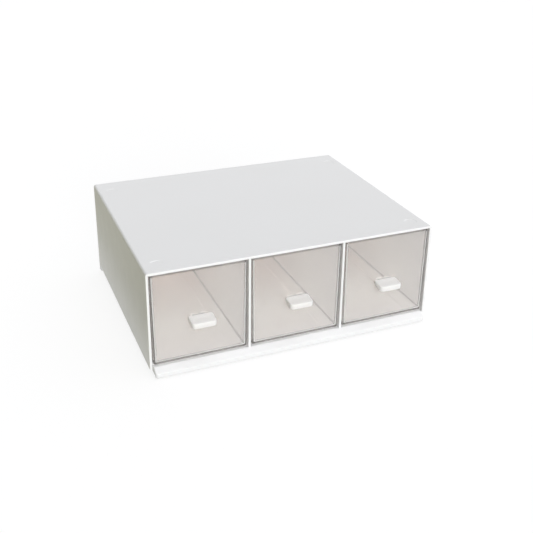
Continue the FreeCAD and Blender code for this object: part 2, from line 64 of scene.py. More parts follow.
# Steps of a handle's corners, edges and top, and of a rim's half ellipse.
CORNER_STEPS = 14
EDGE_STEPS = 9
TOP_STEPS = 22
RIM_STEPS = 9
# A handle's innermost ring, as a share of its outline.
INNER_RING = 0.08
# How far from the drawer a handle's edges reach their full rounding, as a multiple of it.
EDGE_GROWTH = 3
# Where the slit between a clip's barbs starts, and the rounding of the clip's edges.
SLIT_START = 0.15 * MM
CLIP_EDGE = 0.15 * MM
# The back of a rim: how deep it stands in the panel, and its width as a share of the front's.
RIM_SINK = 0.03 * MM
RIM_BACK = 0.5

# Sizes in millimetres after which the patterns repeat. In the white: the drift of tone, the
# specks, the mould's polish and its orange peel. In the clear: smears, waves and the unevenness of
# the rims' painted highlight. Last, the grain of the pads.
FLOW = 70
SPECKS = 22
POLISH = 18
PEEL = 11
SMEARS = 35
WAVES = 28
RIM_UNEVENNESS = 6
GRAIN = 0.5
# Depths of the orange peel, of the waves and of the grain.
PEEL_DEPTH = 0.03 * MM
WAVE_DEPTH = 0.05 * MM
GRAIN_DEPTH = 0.03 * MM
# How strongly the plastics bend light.
ABS_IOR = 1.53
STYRENE_IOR = 1.57
PAD_IOR = 1.5
# Share of the light that passes as through glass. The rest is scattered, as in milky plastic.
DRAWER_CLEAR = 0.82
RIM_CLEAR = 0.3
# How fast the light fades on its way inside the clear plastic, per metre.
CLEAR_DENSITY = 1.5
# Specks in the white plastic: radius of core and edge as shares of SPECKS, and their strength.
SPECK_CORE = 0.008
SPECK_EDGE = 0.02
SPECK_STRENGTH = 0.4
# How much the roughness varies: with the mould's polish, with smears and along a rim.
POLISH_SWING = 0.03
SMEAR_SWING = 0.05
RIM_SWING = 0.05
# How far light spreads inside the soft pads.
PAD_SCATTER = 2 * MM
# Where the painted shade just behind the front has faded and the back's tone and painted shade
# starts, as shares of the way from the object's middle to a drawer's front, and where the back's is
# full, as a share of the way to its back.
FRONT_SHADE_END = 0.3
BACK_TINT_START = 0.5
BACK_TINT_FULL = 0.6

WHITE = "FFFFFF"
# Direction, from the object, of the studio's dim side, and how far towards it the dimness starts
# and is full, as cosines.
DIM_SIDE = (-0.94, 0.34, 0.0)
DIM_START = 0.05
DIM_FULL = 0.4
# The floor as the camera sees it: a glow, and a grey on which light and shadow fall.
FLOOR_GLOW = 0.85
FLOOR_SHADE = "7C7C7C"
# Enough bounces for light that crosses several walls of clear plastic.
MOST_BOUNCES = 32
DIFFUSE_BOUNCES = 16

# Sockets of a Mix node for colours. They go by number, because their names occur several times.
MIX_SHARE = 0
MIX_FROM = 6
MIX_TO = 7
MIX_RESULT = 2


def linear(code):
    """Linear colour with alpha from an sRGB hex code such as "E8E6E1"."""
    srgb = np.array([int(code[i:i + 2], 16) for i in (0, 2, 4)]) / 255
    rgb = np.where(srgb <= 0.04045, srgb / 12.92, ((srgb + 0.055) / 1.055) ** 2.4)
    return (*rgb.tolist(), 1.0)


def colour(name, description, code):
    """A colour property whose default is an sRGB hex code."""
    return FloatVectorProperty(
        name=name, description=description, default=linear(code), size=4, min=0, max=1, subtype="COLOR"
    )


def length(name, description, millimetres):
    """A length property whose default is given in millimetres."""
    return FloatProperty(name=name, description=description, default=millimetres * MM, unit="LENGTH")


def share(name, description, value):
    """A property from 0 to 1."""
    return FloatProperty(
        name=name, description=description, default=value, min=0, max=1, subtype="FACTOR"
    )


def angle(name, description, degrees):
    """An angle property whose default is given in degrees."""
    return FloatProperty(
        name=name, description=description, default=math.radians(degrees), subtype="ANGLE"
    )


class OrganizerFinish(bpy.types.PropertyGroup):
    """Colours and gloss of the organizer's plastics."""

    white: colour("Casing", "White ABS of the casing, panels and tray", "F8F8F8")
    white_mottle: colour("Casing mottle", "Slightly darker tone that drifts over the white", "F6F6F5")
    white_speck: colour("Casing speck", "Tiny specks in the white plastic", "DCD9D2")
    clear: colour("Drawer", "Tint of the clear drawers, seen through one wall", "FEFCFA")
    # Painted shade: the drawers' floor and sides are painted darker just behind the front.
    shade_behind_front: colour("Drawer inside the front", "Tint of floor and sides just behind the front", "F3F1F0")
    # Painted shade with the plastic's own tint: warmer and darker towards the drawers' back, half as strong
    # on their sides.
    back_tone_shade: colour("Drawer back", "Warmer tint towards the back of the drawers", "EAD6CA")
    side_share: share("Side tint", "Share of the back's tint that the drawers' sides have", 0.5)
    clear_depth: colour("Drawer depth", "What long ways through the clear plastic turn to", "8C8C8C")
    # Painted shade: grey lines along the front panel's border and the floor's inner edge, where the view
    # bends into the plastic and gaps lie in shade.
    border_painted_shade: colour("Drawer border", "Grey of the panel's border", "D2D0CE")
    # Painted shade: darker grey in the rounded corners along the floor.
    corner_painted_shade: colour("Drawer corner", "Grey of the rounded corners along the floor", "8C8A83")
    # The rim's two colours are a painted highlight: a pale line standing in for the bright edge of the
    # panel's walls.
    rim: colour("Drawer rim", "Frosted rim round the front panel", "D8D7D4")
    rim_light: colour("Drawer rim, lighter", "Lighter stretches of the frosted rim", "E1E0DC")
    handle: colour("Handle", "White ABS of the handles", "F0ECE6")
    pad: colour("Foot pad", "Milky soft pads", "CFCDC7")
    pad_dust: colour("Foot pad dust", "Dust in the grain of the pads", "B9B6AE")
    white_gloss: share("Casing roughness", "Micro-roughness of the casing", 0.2)
    clear_gloss: share("Drawer roughness", "Micro-roughness of the clear drawers", 0.03)
    rim_gloss: share("Rim roughness", "Micro-roughness of the frosted rim", 0.4)
    handle_gloss: share("Handle roughness", "Micro-roughness of the handles", 0.35)
    pad_gloss: share("Foot pad roughness", "Micro-roughness of the foot pads", 0.6)


class OrganizerTub(bpy.types.PropertyGroup):
    """Sizes of the clear drawers that their material and their rims follow."""

    draft: length("Draft", "How much narrower each side is at the bottom", 0.8)
    nib: length("Nib", "How far the nib stands above the drawer's back", 0.6)
    wall: length("Wall", "Thickness of the sides", 1.5)
    floor: length("Floor", "Thickness of the floor", 2.0)
    front: length("Front", "Thickness of the front", 2.2)
    # Widths of the grey lines painted as shade where the panel's edges and the floor's corners bend the
    # view.
    border: length("Border", "Width of the grey border at the sides and top of the front panel", 0.9)
    border_blur: length("Border edge", "Width over which the grey fades", 0.2)
    foot_line: length("Foot line", "Width of the grey line along the inside of the floor", 0.9)
    corner: length("Corner", "Reach of the grey in the rounded corners along the floor", 0.95)
    rim_in: length("Rim place", "From the panel's side to the middle of the rim", 1.6)
    rim_up: length("Rim height", "From the drawer's underside to the middle of the rim", 2.6)
    rim_width: length("Rim width", "Width of the raised rim on the front panel", 0.85)
    rim_rise: length("Rim rise", "How far the rim stands out from the panel", 0.15)


class OrganizerHandle(bpy.types.PropertyGroup):
    """Sizes of a handle, inside the space that its node holds."""

    front_corner: length("Front corner", "Rounding of the front corners, seen from above", 3.0)
    rear_corner: length("Rear corner", "Rounding of the corners at the drawer, seen from above", 2.0)
    edge: length("Edge", "Rounding of the upper and lower edges", 0.9)
    rear_edge: length("Rear edge", "Rounding of the edges that meet the drawer", 0.12)
    tilt: length("Tilt", "How much lower the top is at the front than at the drawer", 1.15)
    dish_start: length("Dish start", "Distance from the outline to where the thumb dish starts", 1.5)
    dish_end: length("Dish end", "Distance from the outline to where the dish is deepest", 4.2)
    dish_depth: length("Dish depth", "Depth of the thumb dish", 0.35)
    dish_fade: length("Dish fade", "Distance from the front over which the dish comes in", 11.0)
    root: length("Root thickness", "Thickness at the drawer", 3.0)
    grip: length("Grip length", "Length of the full thickness at the front", 1.6)
    scoop: length("Scoop length", "Length of the hollow under the handle", 8.6)
    reach: length("Reach", "How far the handle stands out from the drawer", 11.5)
    neck: length("Neck width", "Width of the neck in the drawer's slot", 12.0)
    neck_rise: length("Neck thickness", "Thickness of the neck", 2.4)
    barb: length("Barb", "How far each barb reaches past the neck", 0.9)
    barb_start: length("Barb start", "Distance from the drawer's face to the barbs", 2.35)
    barb_lead: length("Barb lead", "Chamfer at the barbs' tips", 1.2)
    slit: length("Slit", "Width of the slit between the barbs", 2.4)


class OrganizerStage(bpy.types.PropertyGroup):
    """Floor, light and camera."""

    floor_size: length("Floor size", "Length of the floor's side", 6000)
    floor: colour("Floor", "Pale floor, as it throws light back on the object", "9E9E9B")
    floor_left: colour("Floor on the left", "Olive tone of the floor on the dim side", "A2A07C")
    dim_from: length("Dim side starts", "Distance to the left at which the floor starts to dim", 121)
    dim_to: length("Dim side is full", "Distance to the left at which the floor is at its dimmest", 145)
    dim_gloss: share("Dim side in gloss", "How much less of the white shows in gloss on the dim side", 0.5)
    fill: colour("Fill", "Colour of the light from all round", "F9FAFF")
    fill_left: colour("Fill from the left", "Dimmer, olive light from the left and behind", "55543C")
    fill_level: FloatProperty(
        name="Fill level", description="Strength of the light from all round", default=0.38
    )
    fill_above: FloatProperty(
        name="Fill from above", description="How much brighter the fill is overhead", default=2.36
    )
    key: colour("Key", "Colour of the soft key light", WHITE)
    key_level: FloatProperty(name="Key level", description="Strength of the key light", default=1.95)
    key_azimuth: angle("Key azimuth", "Bearing of the key light, counted from the object's front", -5)
    key_elevation: angle("Key elevation", "Height of the key light above the horizon", 12)
    key_spread: angle("Key spread", "Width of the key light in the sky, which softens its shadows", 30)
    azimuth: angle("Azimuth", "Bearing of the camera, counted from the object's front", -22.512)
    elevation: angle("Elevation", "Height of the camera above the horizon", 22.61)
    roll: angle("Roll", "Turn of the camera about its line of sight", 0.731)
    distance: length("Distance", "From the camera to the point it looks at", 724.3)
    aim_right: length("Aim to the right", "From the object's origin to that point, in the picture", 10.09)
    aim_up: length("Aim up", "From the object's origin to that point, in the picture", 84.1)
    lens: FloatProperty(
        name="Focal length", description="Focal length in millimetres", default=54.264, unit="CAMERA"
    )
    shift: FloatProperty(name="Vertical shift", description="Share of the picture's size", default=-0.12)


def add_node(tree, kind, inputs=(), output=0, **settings):
    """Adds one node with its settings and links, and returns one of its outputs, or all for None.

    inputs gives each socket a value or another node's output: by name or number, or in order.
    """
    made = tree.nodes.new(kind)
    for key, value in settings.items():
        setattr(made, key, value)
    for key, value in inputs.items() if isinstance(inputs, dict) else enumerate(inputs):
        if isinstance(value, bpy.types.NodeSocket):
            tree.links.new(value, made.inputs[key])
        else:
            made.inputs[key].default_value = value
    return made.outputs if output is None else made.outputs[output]


def new_material(name):
    """An empty node material and its node tree."""
    made = bpy.data.materials.new(name)
    made.use_nodes = True
    made.node_tree.nodes.clear()
    return made, made.node_tree


def per_metre(millimetres):
    """Scale of a pattern whose features repeat after so many millimetres."""
    return 1 / (millimetres * MM)


def white_abs(name, base, mottle, speck, roughness):
    """Gloss white ABS, injection moulded in a polished mould.

    The eye gets a clean near-white with a soft sheen, a barely visible drift of tone where the
    melt flowed, the faint orange peel of a polished mould, and a few tiny specks.
    """
    material, tree = new_material(name)
    place = add_node(tree, "ShaderNodeTexCoord", output="Object")
    drift = add_node(tree, "ShaderNodeTexNoise", {
        "Vector": place, "Scale": per_metre(FLOW), "Detail": 3.0, "Roughness": 0.5,
    }, output="Fac")
    toned = add_node(tree, "ShaderNodeMix", {
        MIX_SHARE: drift, MIX_FROM: base, MIX_TO: mottle,
    }, output=MIX_RESULT, data_type="RGBA")
    off_speck = add_node(tree, "ShaderNodeTexVoronoi", {
        "Vector": place, "Scale": per_metre(SPECKS),
    }, output="Distance")
    dot = add_node(tree, "ShaderNodeMapRange", {
        "Value": off_speck, "From Min": SPECK_CORE, "From Max": SPECK_EDGE,
        "To Min": SPECK_STRENGTH, "To Max": 0.0,
    })
    specked = add_node(tree, "ShaderNodeMix", {
        MIX_SHARE: dot, MIX_FROM: toned, MIX_TO: speck,
    }, output=MIX_RESULT, data_type="RGBA")
    haze = add_node(tree, "ShaderNodeTexNoise", {
        "Vector": place, "Scale": per_metre(POLISH), "Detail": 5.0, "Roughness": 0.6,
    }, output="Fac")
    rough = add_node(tree, "ShaderNodeMapRange", {
        "Value": haze, "From Min": 0.3, "From Max": 0.7,
        "To Min": roughness - POLISH_SWING, "To Max": roughness + POLISH_SWING,
    })
    peel = add_node(tree, "ShaderNodeTexNoise", {
        "Vector": place, "Scale": per_metre(PEEL), "Detail": 1.0, "Roughness": 0.4,
    }, output="Fac")
    peel_bump = add_node(tree, "ShaderNodeBump", {"Height": peel, "Strength": 0.1, "Distance": PEEL_DEPTH})
    shader = add_node(tree, "ShaderNodeBsdfPrincipled", {
        "Base Color": specked, "Roughness": rough, "IOR": ABS_IOR, "Normal": peel_bump,
    })
    add_node(tree, "ShaderNodeOutputMaterial", {"Surface": shader}, output=None)
    return material


def casing_abs(finish):
    """The casing's one white ABS, made once and shared by its pieces."""
    name = "casing_white_abs"
    made = bpy.data.materials.get(name)
    return made or white_abs(name, finish.white, finish.white_mottle, finish.white_speck, finish.white_gloss)


def drawer_masks(tree, place, finish, tub):
    """Masks on the drawers: behind the front, towards the back, panel border, corners at the floor.

    The bays repeat at a steady pitch, so the distance from a drawer's middle is its x, wrapped.
    A drawer's side leans in towards the floor by the draft. A line's mask is 1 up to its width and
    fades to 0 over the blur. The back's tone, partly the plastic's own tint and partly painted shade,
    is full on the floor, weaker on the sides and left out on the back wall, so that it doesn't add up
    where the view crosses several walls.
    """
    low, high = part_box("drawer_tub_middle")
    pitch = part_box("drawer_tub_right")[0][0] - low[0]
    top = high[2] - tub.nib
    panel_back = low[1] + tub.front
    wall = tub.wall + tub.border_blur
    half_line = tub.foot_line / 2
    x, y, z = add_node(tree, "ShaderNodeSeparateXYZ", (place,), output=None)

    wrapped = add_node(tree, "ShaderNodeMath", (x, pitch / 2, -pitch / 2), operation="WRAP")
    off_middle = add_node(tree, "ShaderNodeMath", (wrapped,), operation="ABSOLUTE")
    half = add_node(tree, "ShaderNodeMapRange", {
        "Value": z, "From Min": low[2], "From Max": top, "To Min": high[0] - tub.draft, "To Max": high[0],
    })
    to_side = add_node(tree, "ShaderNodeMath", (half, off_middle), operation="SUBTRACT")
    to_foot = add_node(tree, "ShaderNodeMath", (z, low[2]), operation="SUBTRACT")
    to_top = add_node(tree, "ShaderNodeMath", (top, z), operation="SUBTRACT")
    to_edge = add_node(tree, "ShaderNodeMath", (to_side, to_top), operation="MINIMUM")
    past_line = add_node(tree, "ShaderNodeMath", (to_foot, tub.floor - half_line), operation="SUBTRACT")
    off_line = add_node(tree, "ShaderNodeMath", (past_line,), operation="ABSOLUTE")
    past_wall = add_node(tree, "ShaderNodeMath", (to_side, tub.wall), operation="SUBTRACT")
    past_floor = add_node(tree, "ShaderNodeMath", (to_foot, tub.floor), operation="SUBTRACT")
    corner_way = add_node(tree, "ShaderNodeCombineXYZ", (past_wall, past_floor, 0.0))
    off_corner = add_node(
        tree, "ShaderNodeVectorMath", (corner_way,), output="Value", operation="LENGTH"
    )
    edge, foot, panel, corner = [
        add_node(tree, "ShaderNodeMapRange", {
            "Value": distance, "From Min": width, "From Max": width + tub.border_blur,
            "To Min": 1.0, "To Max": 0.0,
        }, interpolation_type="SMOOTHSTEP")
        for distance, width in (
            (to_edge, tub.border), (off_line, half_line), (y, panel_back), (off_corner, tub.corner),
        )
    ]
    # Painted shade: grey lines along the panel's sides and top and along the floor's inner edge.
    line = add_node(tree, "ShaderNodeMath", (edge, foot), operation="MAXIMUM")
    border = add_node(tree, "ShaderNodeMath", (line, panel), operation="MULTIPLY")

    # Painted shade just behind the front panel, fading towards the back.
    fading = add_node(tree, "ShaderNodeMapRange", {
        "Value": y, "From Min": panel_back, "From Max": FRONT_SHADE_END * low[1],
        "To Min": 1.0, "To Max": 0.0,
    }, interpolation_type="SMOOTHSTEP")
    behind_panel = add_node(tree, "ShaderNodeMath", (y, panel_back), operation="GREATER_THAN")
    front_painted_shade = add_node(tree, "ShaderNodeMath", (fading, behind_panel), operation="MULTIPLY")

    # Back's tone: the plastic's own tint and painted shade, growing towards the back.
    coming = add_node(tree, "ShaderNodeMapRange", {
        "Value": y, "From Min": BACK_TINT_START * low[1], "From Max": BACK_TINT_FULL * high[1],
        "To Min": 0.0, "To Max": 1.0,
    }, interpolation_type="SMOOTHSTEP")
    on_side = add_node(tree, "ShaderNodeMath", (to_side, wall), operation="LESS_THAN")
    side_level = add_node(
        tree, "ShaderNodeMath", (on_side, finish.side_share - 1, 1.0), operation="MULTIPLY_ADD"
    )
    off_back = add_node(tree, "ShaderNodeMath", (y, high[1] - wall), operation="LESS_THAN")
    wall_level = add_node(tree, "ShaderNodeMath", (off_back, side_level), operation="MULTIPLY")
    back_tone_shade_mask = add_node(tree, "ShaderNodeMath", (coming, wall_level), operation="MULTIPLY")
    return front_painted_shade, back_tone_shade_mask, border, corner


def clear_styrene(finish, tub):
    """Clear polystyrene with a faint warm grey tint, moulded and mirror smooth.

    The eye looks through it at the white inside. Its colour is painted a little darker just behind
    the front, and warmer and darker towards the back, which is partly the plastic's own tint and
    partly painted shade. Grey lines painted along the front panel's border and in the rounded corners
    along the floor are painted shade, where the view bends into the length of the plastic and the gaps
    lie in shade. The surface has a light sheen with slight smears from handling.
    """
    material, tree = new_material("clear_styrene")
    place = add_node(tree, "ShaderNodeTexCoord", output="Object")
    smear = add_node(tree, "ShaderNodeTexNoise", {
        "Vector": place, "Scale": per_metre(SMEARS), "Detail": 6.0, "Roughness": 0.65, "Distortion": 0.6,
    }, output="Fac")
    rough = add_node(tree, "ShaderNodeMapRange", {
        "Value": smear, "From Min": 0.45, "From Max": 0.75,
        "To Min": finish.clear_gloss, "To Max": finish.clear_gloss + SMEAR_SWING,
    }, interpolation_type="SMOOTHSTEP")
    wave = add_node(tree, "ShaderNodeTexNoise", {
        "Vector": place, "Scale": per_metre(WAVES), "Detail": 1.0,
    }, output="Fac")
    wave_bump = add_node(tree, "ShaderNodeBump", {"Height": wave, "Strength": 0.2, "Distance": WAVE_DEPTH})
    # The tones mixed in here are painted shade: darker just behind the front, warmer and darker towards the
    # back on top of the plastic's own tint, and grey lines along the panel's border, the floor's inner edge
    # and the corners at the floor.
    tint = finish.clear
    tones = (finish.shade_behind_front, finish.back_tone_shade, finish.border_painted_shade, finish.corner_painted_shade)
    for mask, tone in zip(drawer_masks(tree, place, finish, tub), tones):
        tint = add_node(tree, "ShaderNodeMix", {
            MIX_SHARE: mask, MIX_FROM: tint, MIX_TO: tone,
        }, output=MIX_RESULT, data_type="RGBA")
    plastic = add_node(tree, "ShaderNodeBsdfPrincipled", {
        "Base Color": tint, "Roughness": rough, "IOR": STYRENE_IOR,
        "Transmission Weight": DRAWER_CLEAR, "Normal": wave_bump,
    })
    open_to_lamps = add_node(tree, "ShaderNodeBsdfTransparent", {"Color": finish.clear})
    shadow_ray = add_node(tree, "ShaderNodeLightPath", output="Is Shadow Ray")
    surface = add_node(tree, "ShaderNodeMixShader", (shadow_ray, plastic, open_to_lamps))
    inner = add_node(tree, "ShaderNodeVolumeAbsorption", {
        "Color": finish.clear_depth, "Density": CLEAR_DENSITY,
    })
    add_node(tree, "ShaderNodeOutputMaterial", {"Surface": surface, "Volume": inner}, output=None)
    return material


def painted_highlight_styrene(finish):
    """Milky polystyrene for the pale rims, a painted highlight of the front panel's bright edge.

    The eye gets a thin pale line that catches the light, a little uneven along its length.
    """
    material, tree = new_material("painted_highlight_styrene")
    place = add_node(tree, "ShaderNodeTexCoord", output="Object")
    uneven = add_node(tree, "ShaderNodeTexNoise", {
        "Vector": place, "Scale": per_metre(RIM_UNEVENNESS), "Detail": 4.0,
    }, output="Fac")
    toned = add_node(tree, "ShaderNodeMix", {
        MIX_SHARE: uneven, MIX_FROM: finish.rim, MIX_TO: finish.rim_light,
    }, output=MIX_RESULT, data_type="RGBA")
    rough = add_node(tree, "ShaderNodeMapRange", {
        "Value": uneven, "From Min": 0.3, "From Max": 0.7,
        "To Min": finish.rim_gloss - RIM_SWING, "To Max": finish.rim_gloss + RIM_SWING,
    }, interpolation_type="SMOOTHSTEP")
    shader = add_node(tree, "ShaderNodeBsdfPrincipled", {
        "Base Color": toned, "Roughness": rough, "IOR": STYRENE_IOR, "Transmission Weight": RIM_CLEAR,
    })
    add_node(tree, "ShaderNodeOutputMaterial", {"Surface": shader}, output=None)
    return material


def soft_pad(finish):
    """Milky self-adhesive polyurethane pad.

    The eye gets a matte, slightly see-through pad with a fine grain that holds a little dust.
    """
    material, tree = new_material("soft_polyurethane")
    place = add_node(tree, "ShaderNodeTexCoord", output="Object")
    grain = add_node(tree, "ShaderNodeTexNoise", {
        "Vector": place, "Scale": per_metre(GRAIN), "Detail": 4.0,
    }, output="Fac")
    dusted = add_node(tree, "ShaderNodeMix", {
        MIX_SHARE: grain, MIX_FROM: finish.pad, MIX_TO: finish.pad_dust,
    }, output=MIX_RESULT, data_type="RGBA")
    grain_bump = add_node(tree, "ShaderNodeBump", {
        "Height": grain, "Strength": 0.3, "Distance": GRAIN_DEPTH,
    })
    shader = add_node(tree, "ShaderNodeBsdfPrincipled", {
        "Base Color": dusted, "Roughness": finish.pad_gloss, "IOR": PAD_IOR, "Subsurface Weight": 0.3,
        "Subsurface Radius": (PAD_SCATTER,) * 3, "Subsurface Scale": 1.0, "Normal": grain_bump,
    })
    add_node(tree, "ShaderNodeOutputMaterial", {"Surface": shader}, output=None)
    return material


def seen_ray(tree, gloss_share=1.0):
    """1 for rays from the camera and through clear plastic, a share for those from gloss, else 0."""
    path = add_node(tree, "ShaderNodeLightPath", output=None)
    glossy = add_node(tree, "ShaderNodeMath", (path["Is Glossy Ray"], gloss_share), operation="MULTIPLY")
    direct = add_node(
        tree, "ShaderNodeMath", (path["Is Camera Ray"], path["Is Transmission Ray"]), operation="MAXIMUM"
    )
    return add_node(tree, "ShaderNodeMath", (direct, glossy), operation="MAXIMUM")


def floor_material(stage):
    """Matt studio floor that looks white to the camera and in reflections.

    The eye gets plain white with the object's soft shadow, because part of the floor's shading
    stays in what is seen. The light that it throws back on the object is that of a pale grey
    floor, which turns dim and olive on the left.
    """
    material, tree = new_material("studio_floor")
    place = add_node(tree, "ShaderNodeTexCoord", output="Object")
    across = add_node(tree, "ShaderNodeSeparateXYZ", (place,), output="X")
    dim = add_node(tree, "ShaderNodeMapRange", {
        "Value": across, "From Min": -stage.dim_to, "From Max": -stage.dim_from,
        "To Min": 1.0, "To Max": 0.0,
    }, interpolation_type="SMOOTHSTEP")
    gloss_share = add_node(tree, "ShaderNodeMath", (dim, -stage.dim_gloss, 1.0), operation="MULTIPLY_ADD")
    tone = add_node(tree, "ShaderNodeMix", {
        MIX_SHARE: dim, MIX_FROM: stage.floor, MIX_TO: stage.floor_left,
    }, output=MIX_RESULT, data_type="RGBA")
    grey = add_node(tree, "ShaderNodeBsdfDiffuse", {"Color": tone})
    shade = add_node(tree, "ShaderNodeBsdfDiffuse", {"Color": linear(FLOOR_SHADE)})
    glow = add_node(tree, "ShaderNodeEmission", {"Color": linear(WHITE), "Strength": FLOOR_GLOW})
    bright = add_node(tree, "ShaderNodeAddShader", (shade, glow))
    surface = add_node(tree, "ShaderNodeMixShader", (seen_ray(tree, gloss_share), grey, bright))
    add_node(tree, "ShaderNodeOutputMaterial", {"Surface": surface}, output=None)
    return material


def link(name, data):
    """An object with that data, at the origin of the scene."""
    made = bpy.data.objects.new(name, data)
    bpy.context.scene.collection.objects.link(made)
    return made


def dress(nodes, material):
    """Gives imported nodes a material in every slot."""
    for name in nodes:
        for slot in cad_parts[name].material_slots:
            slot.material = material


def closed_mesh(name, rings, low, high):
    """Mesh of equal rings of points joined in order, closed by one point below and one above."""
    count = rings.shape[1]
    points = np.concatenate([rings.reshape(-1, 3), low[None], high[None]])
    first = np.arange(len(rings) - 1)[:, None] * count
    step = np.arange(count)[None]
    ahead = (step + 1) % count
    sides = np.stack([first + step, first + ahead, first + count + ahead, first + count + step], axis=2)
    step, ahead = step[0], ahead[0]
    last = (len(rings) - 1) * count
    foot = np.stack([ahead, step, np.full(count, len(points) - 2)], axis=1)
    cap = np.stack([last + step, last + ahead, np.full(count, len(points) - 1)], axis=1)
    made = bpy.data.meshes.new(name)
    made.from_pydata(points.tolist(), [], sides.reshape(-1, 4).tolist() + foot.tolist() + cap.tolist())
    made.polygons.foreach_set("use_smooth", np.ones(len(made.polygons), dtype=bool))
    return made


def panel_rim(name, tub, box):
    """Fine raised rim on a front panel, down one side, along the foot and up the other.

    A low half ellipse, its narrower flat back sunk in the panel, carried along a path of four
    points. At the two lower corners the section is stretched outwards along both sides at once,
    as in a mitre. The sides lean in by the draft. The rim's pale material is a painted highlight,
    standing in for the bright edge of the panel's walls.
    """
    low, high = np.array(box[0]), np.array(box[1])
    middle = (high[0] + low[0]) / 2
    half = (high[0] - low[0]) / 2
    top = high[2] - tub.nib
    turn = np.linspace(0, np.pi, RIM_STEPS)
    aside = tub.rim_width / 2 * np.append(np.cos(turn), -RIM_BACK * np.cos(turn[1:-1]))
    out = np.append(tub.rim_rise * np.sin(turn), np.full(RIM_STEPS - 2, -RIM_SINK))
    head_x, head_z = half - tub.rim_in, top - tub.border
    foot_x = head_x - tub.draft + tub.draft * tub.rim_up / (top - low[2])
    foot_z = low[2] + tub.rim_up
    corners = np.array([(-head_x, head_z), (-foot_x, foot_z), (foot_x, foot_z), (head_x, head_z)])
    spread = np.array([(-1, 0), (-1, -1), (1, -1), (1, 0)])
    rings = np.stack([
        middle + corners[:, :1] + spread[:, :1] * aside,
        np.broadcast_to(low[1] - out, (len(corners), len(out))),
        corners[:, 1:] + spread[:, 1:] * aside,
    ], axis=2)
    ends = rings.mean(axis=1)
    return closed_mesh(name, rings, ends[0], ends[-1])


def plan(half_width, reach, front_r, rear_r):
    """Rounded rectangle seen from above, as an array of x and y.

    Straight sides joined by quarter circles, each with its centre its radius inside both sides.
    """
    quarter = np.linspace(0, np.pi / 2, CORNER_STEPS)
    corners = ((1, 0, rear_r), (-1, 0, rear_r), (-1, -reach, front_r), (1, -reach, front_r))
    arcs = []
    for number, (side, y, radius) in enumerate(corners):
        inward = 1 if y else -1
        turn = quarter + number * np.pi / 2
        arcs.append(np.stack([
            side * (half_width - radius) + radius * np.cos(turn),
            y + inward * radius + radius * np.sin(turn),
        ], axis=1))
    return np.concatenate(arcs)


def smooth(value):
    """Eases from 0 to 1 with no kink at either end."""
    value = np.clip(value, 0, 1)
    return value * value * (3 - 2 * value)


def inside(points, half_width, reach, radius):
    """Distance from each point to the handle's outline: that to a rounded rectangle."""
    across = np.abs(points[:, 0]) - half_width + radius
    along = np.abs(points[:, 1] + reach / 2) - reach / 2 + radius
    outer = np.hypot(np.maximum(across, 0), np.maximum(along, 0))
    return radius - outer - np.minimum(np.maximum(across, along), 0)


def handle_grip(name, size, box):
    """Tongue of a handle: a closed surface of rings, from under its middle to over it.

    Every ring is the plan outline, drawn in towards the middle and set at a height. The rings
    start in the middle of the underside, widen to the outline, turn up round the lower edge, climb
    the flank, turn in round the upper edge and close over the top. The underside eases from the
    full thickness at the front to the root's at the drawer. The top falls steadily by the tilt
    towards the front, and sinks by the dish's depth, eased over the distance from the outline and
    from the front.
    """
    low, high = np.array(box[0]), np.array(box[1])
    half = (high[0] - low[0]) / 2
    middle = (high[0] + low[0]) / 2
    face = low[1] + size.reach
    top = high[2]
    thick = high[2] - low[2]
    rim = plan(half, size.reach, size.front_corner, size.rear_corner)
    heart = np.array([0.0, -size.reach / 2])
    inwards = (heart - rim) / np.linalg.norm(heart - rim, axis=1)[:, None]
    fore = np.clip(-rim[:, 1] / (EDGE_GROWTH * size.edge), 0, 1)
    edge = size.rear_edge + (size.edge - size.rear_edge) * fore

    def underside(points):
        behind = (points[:, 1] + size.reach - size.grip) / size.scoop
        return top - thick + (thick - size.root) * smooth(behind)

    def crown(points):
        return top + size.tilt * points[:, 1] / size.reach

    def dished(points):
        past_start = inside(points, half, size.reach, size.front_corner) - size.dish_start
        sunk = smooth(past_start / (size.dish_end - size.dish_start))
        fade = smooth((points[:, 1] + size.reach) / size.dish_fade)
        return crown(points) - size.dish_depth * sunk * fade

    def set_in(part):
        return rim + inwards * (edge * part)[:, None]

    turns = np.linspace(0, np.pi / 2, EDGE_STEPS)
    widths = np.linspace(INNER_RING, 1.0, TOP_STEPS)
    flat_rim = set_in(1.0)
    rings = []
    for width in widths:
        points = heart + (flat_rim - heart) * width
        rings.append((points, underside(points)))
    for turn in turns[1:]:
        rings.append((set_in(1 - np.sin(turn)), underside(rim) + edge * (1 - np.cos(turn))))
    for turn in turns[:-1]:
        rings.append((set_in(1 - np.cos(turn)), crown(rim) - edge * (1 - np.sin(turn))))
    for width in widths[::-1]:
        points = heart + (flat_rim - heart) * width
        rings.append((points, dished(points)))

    stacked = np.array([np.column_stack([points, level]) for points, level in rings])
    move = np.array([middle, face, 0.0])
    centre = heart[None]
    foot = np.array([*heart, underside(centre)[0]])
    cap = np.array([*heart, dished(centre)[0]])
    return closed_mesh(name, stacked + move, foot + move, cap + move)


